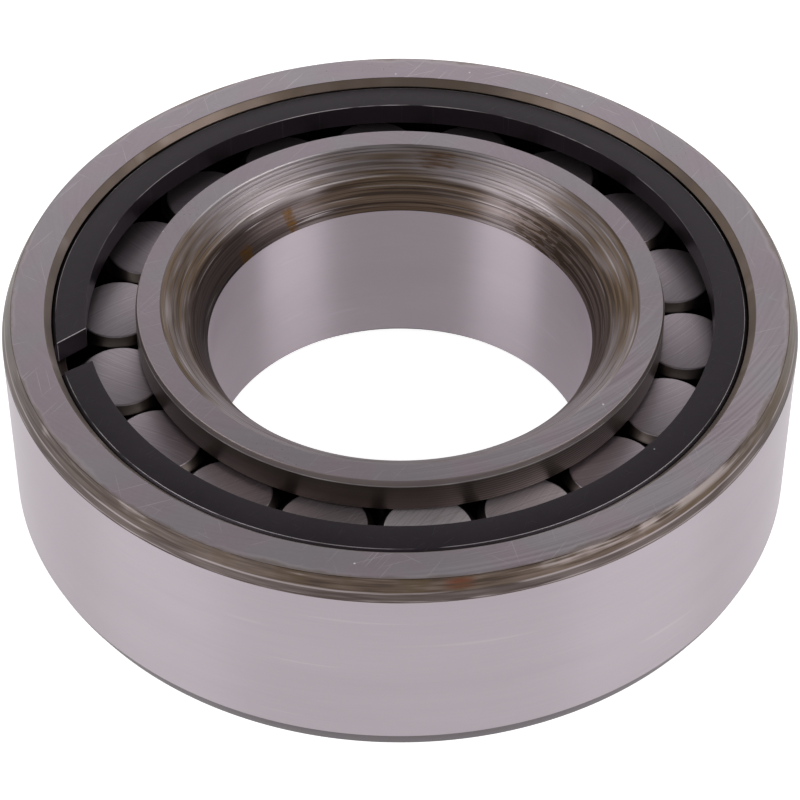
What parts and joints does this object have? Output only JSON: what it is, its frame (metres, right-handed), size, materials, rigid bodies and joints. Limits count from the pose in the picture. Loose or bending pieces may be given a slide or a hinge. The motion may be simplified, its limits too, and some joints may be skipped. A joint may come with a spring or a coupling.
{
  "type": "cylindrical roller bearing",
  "caption": "Full-complement cylindrical roller bearing with a split retaining ring and a wide rounded bore entry.",
  "frame": {"origin": "on the bearing's axis, in the plane of its bottom side faces", "axes": "+Z along the bearing's axis, towards the retaining ring and the bore's rounded mouth"},
  "size_m": [0.08, 0.08, 0.023],
  "materials": {
    "ring_steel": "ground, satin",
    "roller_steel": "ground, satin",
    "blackened_spring_steel": "black oxide, semi-matt"
  },
  "bodies": {
    "outer": {"outer_ring": "ring_steel", "retaining_ring": "blackened_spring_steel"},
    "inner": {"inner_ring": "ring_steel"},
    "roller_01": {"roller_01": "roller_steel"},
    "roller_02": {"roller_02": "roller_steel"},
    "roller_03": {"roller_03": "roller_steel"},
    "roller_04": {"roller_04": "roller_steel"},
    "roller_05": {"roller_05": "roller_steel"},
    "roller_06": {"roller_06": "roller_steel"},
    "roller_07": {"roller_07": "roller_steel"},
    "roller_08": {"roller_08": "roller_steel"},
    "roller_09": {"roller_09": "roller_steel"},
    "roller_10": {"roller_10": "roller_steel"},
    "roller_11": {"roller_11": "roller_steel"},
    "roller_12": {"roller_12": "roller_steel"},
    "roller_13": {"roller_13": "roller_steel"},
    "roller_14": {"roller_14": "roller_steel"},
    "roller_15": {"roller_15": "roller_steel"},
    "roller_16": {"roller_16": "roller_steel"},
    "roller_17": {"roller_17": "roller_steel"},
    "roller_18": {"roller_18": "roller_steel"}
  },
  "joints": [
    {"name": "inner_ring_spin", "type": "hinge", "parent": "outer", "child": "inner", "pos_m": [0, 0, 0.0115], "axis": [0, 0, 1], "continuous": true},
    {"name": "roller_01_orbit", "type": "hinge", "parent": "outer", "child": "roller_01", "pos_m": [0, 0, 0.0115], "axis": [0, 0, 1], "continuous": true},
    {"name": "roller_02_orbit", "type": "hinge", "parent": "outer", "child": "roller_02", "pos_m": [0, 0, 0.0115], "axis": [0, 0, 1], "continuous": true},
    {"name": "roller_03_orbit", "type": "hinge", "parent": "outer", "child": "roller_03", "pos_m": [0, 0, 0.0115], "axis": [0, 0, 1], "continuous": true},
    {"name": "roller_04_orbit", "type": "hinge", "parent": "outer", "child": "roller_04", "pos_m": [0, 0, 0.0115], "axis": [0, 0, 1], "continuous": true},
    {"name": "roller_05_orbit", "type": "hinge", "parent": "outer", "child": "roller_05", "pos_m": [0, 0, 0.0115], "axis": [0, 0, 1], "continuous": true},
    {"name": "roller_06_orbit", "type": "hinge", "parent": "outer", "child": "roller_06", "pos_m": [0, 0, 0.0115], "axis": [0, 0, 1], "continuous": true},
    {"name": "roller_07_orbit", "type": "hinge", "parent": "outer", "child": "roller_07", "pos_m": [0, 0, 0.0115], "axis": [0, 0, 1], "continuous": true},
    {"name": "roller_08_orbit", "type": "hinge", "parent": "outer", "child": "roller_08", "pos_m": [0, 0, 0.0115], "axis": [0, 0, 1], "continuous": true},
    {"name": "roller_09_orbit", "type": "hinge", "parent": "outer", "child": "roller_09", "pos_m": [0, 0, 0.0115], "axis": [0, 0, 1], "continuous": true},
    {"name": "roller_10_orbit", "type": "hinge", "parent": "outer", "child": "roller_10", "pos_m": [0, 0, 0.0115], "axis": [0, 0, 1], "continuous": true},
    {"name": "roller_11_orbit", "type": "hinge", "parent": "outer", "child": "roller_11", "pos_m": [0, 0, 0.0115], "axis": [0, 0, 1], "continuous": true},
    {"name": "roller_12_orbit", "type": "hinge", "parent": "outer", "child": "roller_12", "pos_m": [0, 0, 0.0115], "axis": [0, 0, 1], "continuous": true},
    {"name": "roller_13_orbit", "type": "hinge", "parent": "outer", "child": "roller_13", "pos_m": [0, 0, 0.0115], "axis": [0, 0, 1], "continuous": true},
    {"name": "roller_14_orbit", "type": "hinge", "parent": "outer", "child": "roller_14", "pos_m": [0, 0, 0.0115], "axis": [0, 0, 1], "continuous": true},
    {"name": "roller_15_orbit", "type": "hinge", "parent": "outer", "child": "roller_15", "pos_m": [0, 0, 0.0115], "axis": [0, 0, 1], "continuous": true},
    {"name": "roller_16_orbit", "type": "hinge", "parent": "outer", "child": "roller_16", "pos_m": [0, 0, 0.0115], "axis": [0, 0, 1], "continuous": true},
    {"name": "roller_17_orbit", "type": "hinge", "parent": "outer", "child": "roller_17", "pos_m": [0, 0, 0.0115], "axis": [0, 0, 1], "continuous": true},
    {"name": "roller_18_orbit", "type": "hinge", "parent": "outer", "child": "roller_18", "pos_m": [0, 0, 0.0115], "axis": [0, 0, 1], "continuous": true}
  ],
  "couplings": [
    {"joint": "roller_01_orbit", "follows": "inner_ring_spin", "ratio": 0.41266},
    {"joint": "roller_02_orbit", "follows": "inner_ring_spin", "ratio": 0.41266},
    {"joint": "roller_03_orbit", "follows": "inner_ring_spin", "ratio": 0.41266},
    {"joint": "roller_04_orbit", "follows": "inner_ring_spin", "ratio": 0.41266},
    {"joint": "roller_05_orbit", "follows": "inner_ring_spin", "ratio": 0.41266},
    {"joint": "roller_06_orbit", "follows": "inner_ring_spin", "ratio": 0.41266},
    {"joint": "roller_07_orbit", "follows": "inner_ring_spin", "ratio": 0.41266},
    {"joint": "roller_08_orbit", "follows": "inner_ring_spin", "ratio": 0.41266},
    {"joint": "roller_09_orbit", "follows": "inner_ring_spin", "ratio": 0.41266},
    {"joint": "roller_10_orbit", "follows": "inner_ring_spin", "ratio": 0.41266},
    {"joint": "roller_11_orbit", "follows": "inner_ring_spin", "ratio": 0.41266},
    {"joint": "roller_12_orbit", "follows": "inner_ring_spin", "ratio": 0.41266},
    {"joint": "roller_13_orbit", "follows": "inner_ring_spin", "ratio": 0.41266},
    {"joint": "roller_14_orbit", "follows": "inner_ring_spin", "ratio": 0.41266},
    {"joint": "roller_15_orbit", "follows": "inner_ring_spin", "ratio": 0.41266},
    {"joint": "roller_16_orbit", "follows": "inner_ring_spin", "ratio": 0.41266},
    {"joint": "roller_17_orbit", "follows": "inner_ring_spin", "ratio": 0.41266},
    {"joint": "roller_18_orbit", "follows": "inner_ring_spin", "ratio": 0.41266}
  ]
}
